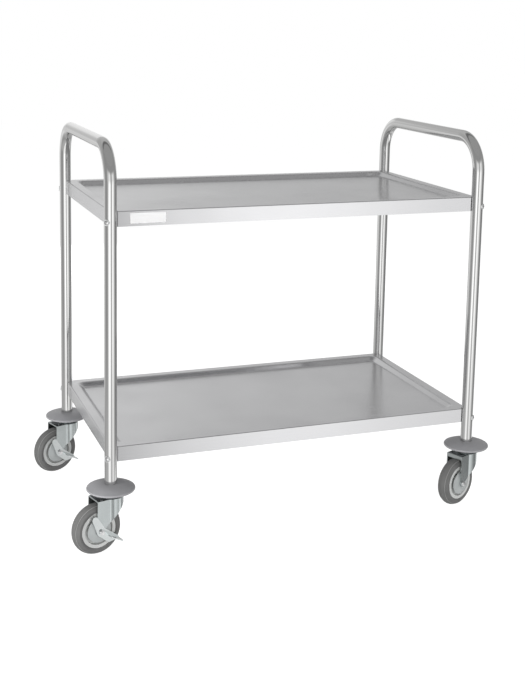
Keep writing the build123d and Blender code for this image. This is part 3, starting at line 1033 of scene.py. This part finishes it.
SHOULDER_BELT = Belt(
    (
        (-180, 0.94), (-172, 0.92), (-160, 0.62), (-150, 0.47), (-130, 0.52), (-112, 0.44), (-95, 0.36),
        (-75, 0.36), (-50, 0.75), (-28, 1.15), (-8, 0.55), (1, 0.45), (10, 0.85), (20, 1.10),
        (40, 0.85), (60, 0.40), (92, 0.34), (140, 0.62), (148, 0.66), (156, 0.71), (163, 0.77),
        (170, 0.87), (176, 0.93), (180, 0.94),
    ),
    start=0.55,
    full=0.95,
)
UPPER_BELT = Belt(
    (
        (-180, 0.57), (-140, 0.48), (-100, 0.34), (-40, 0.36), (40, 0.36), (100, 0.34), (140, 0.44),
        (180, 0.57),
    ),
    start=1.5,
    full=2.2,
)


@dataclass(frozen=True)
class CeilingBand:
    """Stretch of the surround's ceiling that has one brightness.

    Attributes:
        glow: Its brightness.
        start: Distance behind the cart's middle where it begins to take over from the one in front.
        full: Distance where it has taken over.
    """

    glow: float
    start: float
    full: float


CEILING = (
    CeilingBand(0.38, start=-3.0, full=-3.0),
    CeilingBand(0.18, start=0.7, full=1.05),
    CeilingBand(0.55, start=1.35, full=1.9),
)


@dataclass
class Surround:
    """Drum round the cart that only mirrors see: what a studio's walls look like in polished steel.

    Attributes:
        radius: Radius of the drum.
        low: Height of its foot, below the floor, which mirrors look through.
        high: Height of its ceiling.
        columns: Columns of faces round the drum.
        belts: Belts of the walls, from the foot up.
        ceiling: Bands of the ceiling, from front to back.
        ceiling_run: Height over which the walls give way to the ceiling.
    """

    radius: float = 3.0
    low: float = -2.2
    high: float = 3.2
    columns: int = 96
    belts: tuple[Belt, ...] = (BASE_BELT, FOOT_BELT, WALL_BELT, SHOULDER_BELT, UPPER_BELT)
    ceiling: tuple[CeilingBand, ...] = CEILING
    ceiling_run: float = 10 * MM

    def build(self) -> None:
        """Stand the drum and its ceiling round the cart."""
        deselect_all()
        bpy.ops.mesh.primitive_cylinder_add(
            vertices=self.columns,
            radius=self.radius,
            depth=self.high - self.low,
            location=(0, 0, (self.low + self.high) / 2),
        )
        drum = new_piece("surround")
        bpy.ops.object.transform_apply(location=True)
        drum.visible_camera = False
        drum.visible_diffuse = False
        drum.visible_transmission = False
        drum.visible_shadow = False
        drum.visible_volume_scatter = False
        drum.data.materials.append(self.material())

    def material(self) -> bpy.types.Material:
        """Build the drum's glow.

        Returns:
            A glow graded round the belts and up to the ceiling.
        """
        sketch = ShaderSketch("surround_glow")
        share = self.azimuth(sketch)
        level = self.ramp(sketch, share, self.belts[0].glow)
        for belt in self.belts[1:]:
            step = sketch.above((belt.start + belt.full) / 2, belt.full - belt.start)
            level = sketch.blend(step, level, self.ramp(sketch, share, belt.glow))
        ceiling = sketch.level(self.ceiling[0].glow)
        for band in self.ceiling[1:]:
            step = sketch.above((band.start + band.full) / 2, band.full - band.start, Axis.Y)
            ceiling = sketch.blend(step, ceiling, sketch.level(band.glow))
        edge = sketch.above(self.high - self.ceiling_run, self.ceiling_run)
        level = sketch.blend(edge, level, ceiling)
        glow = sketch.nodes.new("ShaderNodeEmission")
        sketch.links.new(level, glow.inputs["Strength"])
        sketch.nodes.remove(sketch.shader)
        sketch.links.new(glow.outputs["Emission"], sketch.nodes["Material Output"].inputs["Surface"])
        return sketch.material

    @staticmethod
    def azimuth(sketch: ShaderSketch) -> Socket:
        """Add the azimuth round the cart.

        Args:
            sketch: Material that takes it.

        Returns:
            The azimuth as a share of the whole turn, 0 and 1 at the back.
        """
        split = sketch.nodes.new("ShaderNodeSeparateXYZ")
        sketch.links.new(sketch.place, split.inputs["Vector"])
        front = sketch.nodes.new("ShaderNodeMath")
        front.operation = "MULTIPLY"
        front.inputs[1].default_value = -1.0
        sketch.links.new(split.outputs["Y"], front.inputs[0])
        turn = sketch.nodes.new("ShaderNodeMath")
        turn.operation = "ARCTAN2"
        sketch.links.new(split.outputs["X"], turn.inputs[0])
        sketch.links.new(front.outputs["Value"], turn.inputs[1])
        share = sketch.nodes.new("ShaderNodeMapRange")
        share.inputs["From Min"].default_value = -math.pi
        share.inputs["From Max"].default_value = math.pi
        sketch.links.new(turn.outputs["Value"], share.inputs["Value"])
        return share.outputs["Result"]

    @staticmethod
    def ramp(sketch: ShaderSketch, share: Socket, stops: Stops) -> Socket:
        """Add a brightness that changes with the azimuth.

        Args:
            sketch: Material that takes it.
            share: Azimuth as a share of the whole turn, 0 and 1 at the back.
            stops: Azimuths in degrees and the brightness at each.

        Returns:
            The brightness.
        """
        node = sketch.nodes.new("ShaderNodeValToRGB")
        node.color_ramp.interpolation = "EASE"
        elements = node.color_ramp.elements
        while len(elements) < len(stops):
            elements.new(1.0)
        for element, (azimuth, level) in zip(elements, stops):
            element.position = (azimuth + 180) / 360
            element.color = (level, level, level, 1)
        sketch.links.new(share, node.inputs["Fac"])
        return node.outputs["Color"]


@dataclass(frozen=True)
class Lamp:
    """Square soft lamp that faces the cart and that mirrors don't show.

    Attributes:
        name: Name of the lamp.
        place: Where it hangs.
        width: Side of its square.
        power: Power in watts.
    """

    name: str
    place: Triple
    width: float
    power: float

    def hang(self) -> None:
        """Hang the lamp and turn it to the cart's middle."""
        data = bpy.data.lights.new(self.name, "AREA")
        data.size = self.width
        data.energy = self.power
        lamp = bpy.data.objects.new(self.name, data)
        middle = (cad_box[0] + cad_box[1]) / 2
        lamp.location = self.place
        lamp.rotation_euler = (middle - Vector(self.place)).to_track_quat("-Z", "Y").to_euler()
        lamp.visible_glossy = False
        bpy.context.scene.collection.objects.link(lamp)


LAMPS = (
    Lamp("key_lamp", (-1.8, -0.6, 0.5), 0.8, 21.0),
    Lamp("fill_lamp", (1.7, -0.6, 0.5), 0.8, 7.0),
    Lamp("front_lamp", (-0.3, -2.8, 0.7), 1.4, 36.0),
    Lamp("back_lamp", (0.3, 2.8, 0.8), 1.4, 29.0),
)


@dataclass
class Studio:
    """Camera, lamps, pale floor and the surround that the polished metal mirrors.

    Attributes:
        eye: Camera's place.
        yaw: Camera's turn from +Y towards +X, in degrees.
        pitch: Camera's rise above the horizon, in degrees.
        roll: Camera's turn about its own view, in degrees.
        lens: Focal length in millimetres on a sensor 36 mm wide.
        shift: Upward shift of the lens as a share of the picture's height.
        sky_level: Brightness of the sky on surfaces that scatter light.
        floor_radius: Radius of the floor.
        floor_sides: Sides of its outline.
        floor_colour: Share of light that the floor scatters.
        floor_shade_share: Share of the floor's picture that shows its shadow.
        surround: What the polished metal mirrors.
    """

    eye: Triple = (-0.8824, -2.4022, 1.0519)
    yaw: float = 20.386
    pitch: float = -8.787
    roll: float = 1.048
    lens: float = 60.491
    shift: float = -0.2143
    sky_level: float = 0.16
    floor_radius: float = 9.0
    floor_sides: int = 96
    floor_colour: float = 0.65
    floor_shade_share: float = 0.42
    surround: Surround = field(default_factory=Surround)

    def build(self) -> None:
        """Set up everything that isn't the cart."""
        bpy.context.scene.view_settings.view_transform = "Standard"
        self.aim_camera()
        self.light_sky()
        for lamp in LAMPS:
            lamp.hang()
        self.lay_floor()
        self.surround.build()

    def aim_camera(self) -> None:
        """Put the camera where the photograph was taken from."""
        yaw, pitch, roll = (math.radians(angle) for angle in (self.yaw, self.pitch, self.roll))
        level = math.cos(pitch)
        forward = Vector((math.sin(yaw) * level, math.cos(yaw) * level, math.sin(pitch)))
        right = Vector((math.cos(yaw), -math.sin(yaw), 0))
        rise = right.cross(forward)
        tilted_right = math.cos(roll) * right + math.sin(roll) * rise
        tilted_rise = math.cos(roll) * rise - math.sin(roll) * right
        data = bpy.data.cameras.new("camera")
        data.lens = self.lens
        data.shift_y = self.shift
        camera = bpy.data.objects.new("camera", data)
        turn = Matrix((tilted_right, tilted_rise, -forward)).transposed().to_4x4()
        camera.matrix_world = Matrix.Translation(self.eye) @ turn
        bpy.context.scene.collection.objects.link(camera)
        bpy.context.scene.camera = camera

    def light_sky(self) -> None:
        """Make a white backdrop for the eye and for mirrors, and a plain sky for the rest."""
        world = bpy.data.worlds.new("studio_sky")
        world.use_nodes = True
        bpy.context.scene.world = world
        nodes, links = world.node_tree.nodes, world.node_tree.links
        nodes.clear()
        path = nodes.new("ShaderNodeLightPath")
        plain = nodes.new("ShaderNodeBackground")
        plain.inputs["Color"].default_value = (1, 1, 1, 1)
        plain.inputs["Strength"].default_value = self.sky_level
        white = nodes.new("ShaderNodeBackground")
        white.inputs["Color"].default_value = (1, 1, 1, 1)
        white.inputs["Strength"].default_value = 1.0
        seen = path.outputs["Is Camera Ray"]
        for ray in ("Is Glossy Ray", "Is Transmission Ray"):
            either = nodes.new("ShaderNodeMath")
            either.operation = "MAXIMUM"
            links.new(seen, either.inputs[0])
            links.new(path.outputs[ray], either.inputs[1])
            seen = either.outputs["Value"]
        mix = nodes.new("ShaderNodeMixShader")
        output = nodes.new("ShaderNodeOutputWorld")
        links.new(seen, mix.inputs["Fac"])
        links.new(plain.outputs["Background"], mix.inputs[1])
        links.new(white.outputs["Background"], mix.inputs[2])
        links.new(mix.outputs["Shader"], output.inputs["Surface"])

    def lay_floor(self) -> None:
        """Lay a pale floor that shows white, apart from the cart's soft shadow."""
        deselect_all()
        bpy.ops.mesh.primitive_circle_add(
            vertices=self.floor_sides, radius=self.floor_radius, fill_type="NGON"
        )
        floor = new_piece("floor")
        floor.visible_glossy = False
        material = bpy.data.materials.new("floor_white")
        material.use_nodes = True
        nodes, links = material.node_tree.nodes, material.node_tree.links
        nodes.clear()
        path = nodes.new("ShaderNodeLightPath")
        scatter = nodes.new("ShaderNodeBsdfDiffuse")
        scatter.inputs["Color"].default_value = (*(self.floor_colour,) * 3, 1)
        shadowed = nodes.new("ShaderNodeBsdfDiffuse")
        shadowed.inputs["Color"].default_value = (*(self.floor_shade_share,) * 3, 1)
        glow = nodes.new("ShaderNodeEmission")
        glow.inputs["Strength"].default_value = 1 - self.floor_shade_share * self.sky_level
        shown = nodes.new("ShaderNodeAddShader")
        mix = nodes.new("ShaderNodeMixShader")
        output = nodes.new("ShaderNodeOutputMaterial")
        links.new(shadowed.outputs["BSDF"], shown.inputs[0])
        links.new(glow.outputs["Emission"], shown.inputs[1])
        links.new(path.outputs["Is Camera Ray"], mix.inputs["Fac"])
        links.new(scatter.outputs["BSDF"], mix.inputs[1])
        links.new(shown.outputs["Shader"], mix.inputs[2])
        links.new(mix.outputs["Shader"], output.inputs["Surface"])
        floor.data.materials.append(material)


def main() -> None:
    """Build and dress the cart, then set it in the studio."""
    logging.basicConfig(level=logging.INFO, format="%(name)s: %(message)s")
    shop = PaintShop()
    HandleFrames().dress(shop)
    trays = Trays()
    plate = trays.build()
    trays.dress(shop, plate)
    Fixings().dress(shop)
    trim = CasterTrim()
    nut = trim.locknut()
    rib = trim.shoulder_rib()
    pieces = [plate]
    for corner in Corner:
        caster = Caster(corner)
        fitted = caster.build(nut, rib)
        caster.dress(shop, fitted)
        pieces.extend(fitted)
    bpy.data.objects.remove(nut)
    bpy.data.objects.remove(rib)
    Studio().build()
    for piece in pieces:
        log.info("piece %s: %d faces", piece.name, len(piece.data.polygons))


if __name__ == "__main__":
    main()
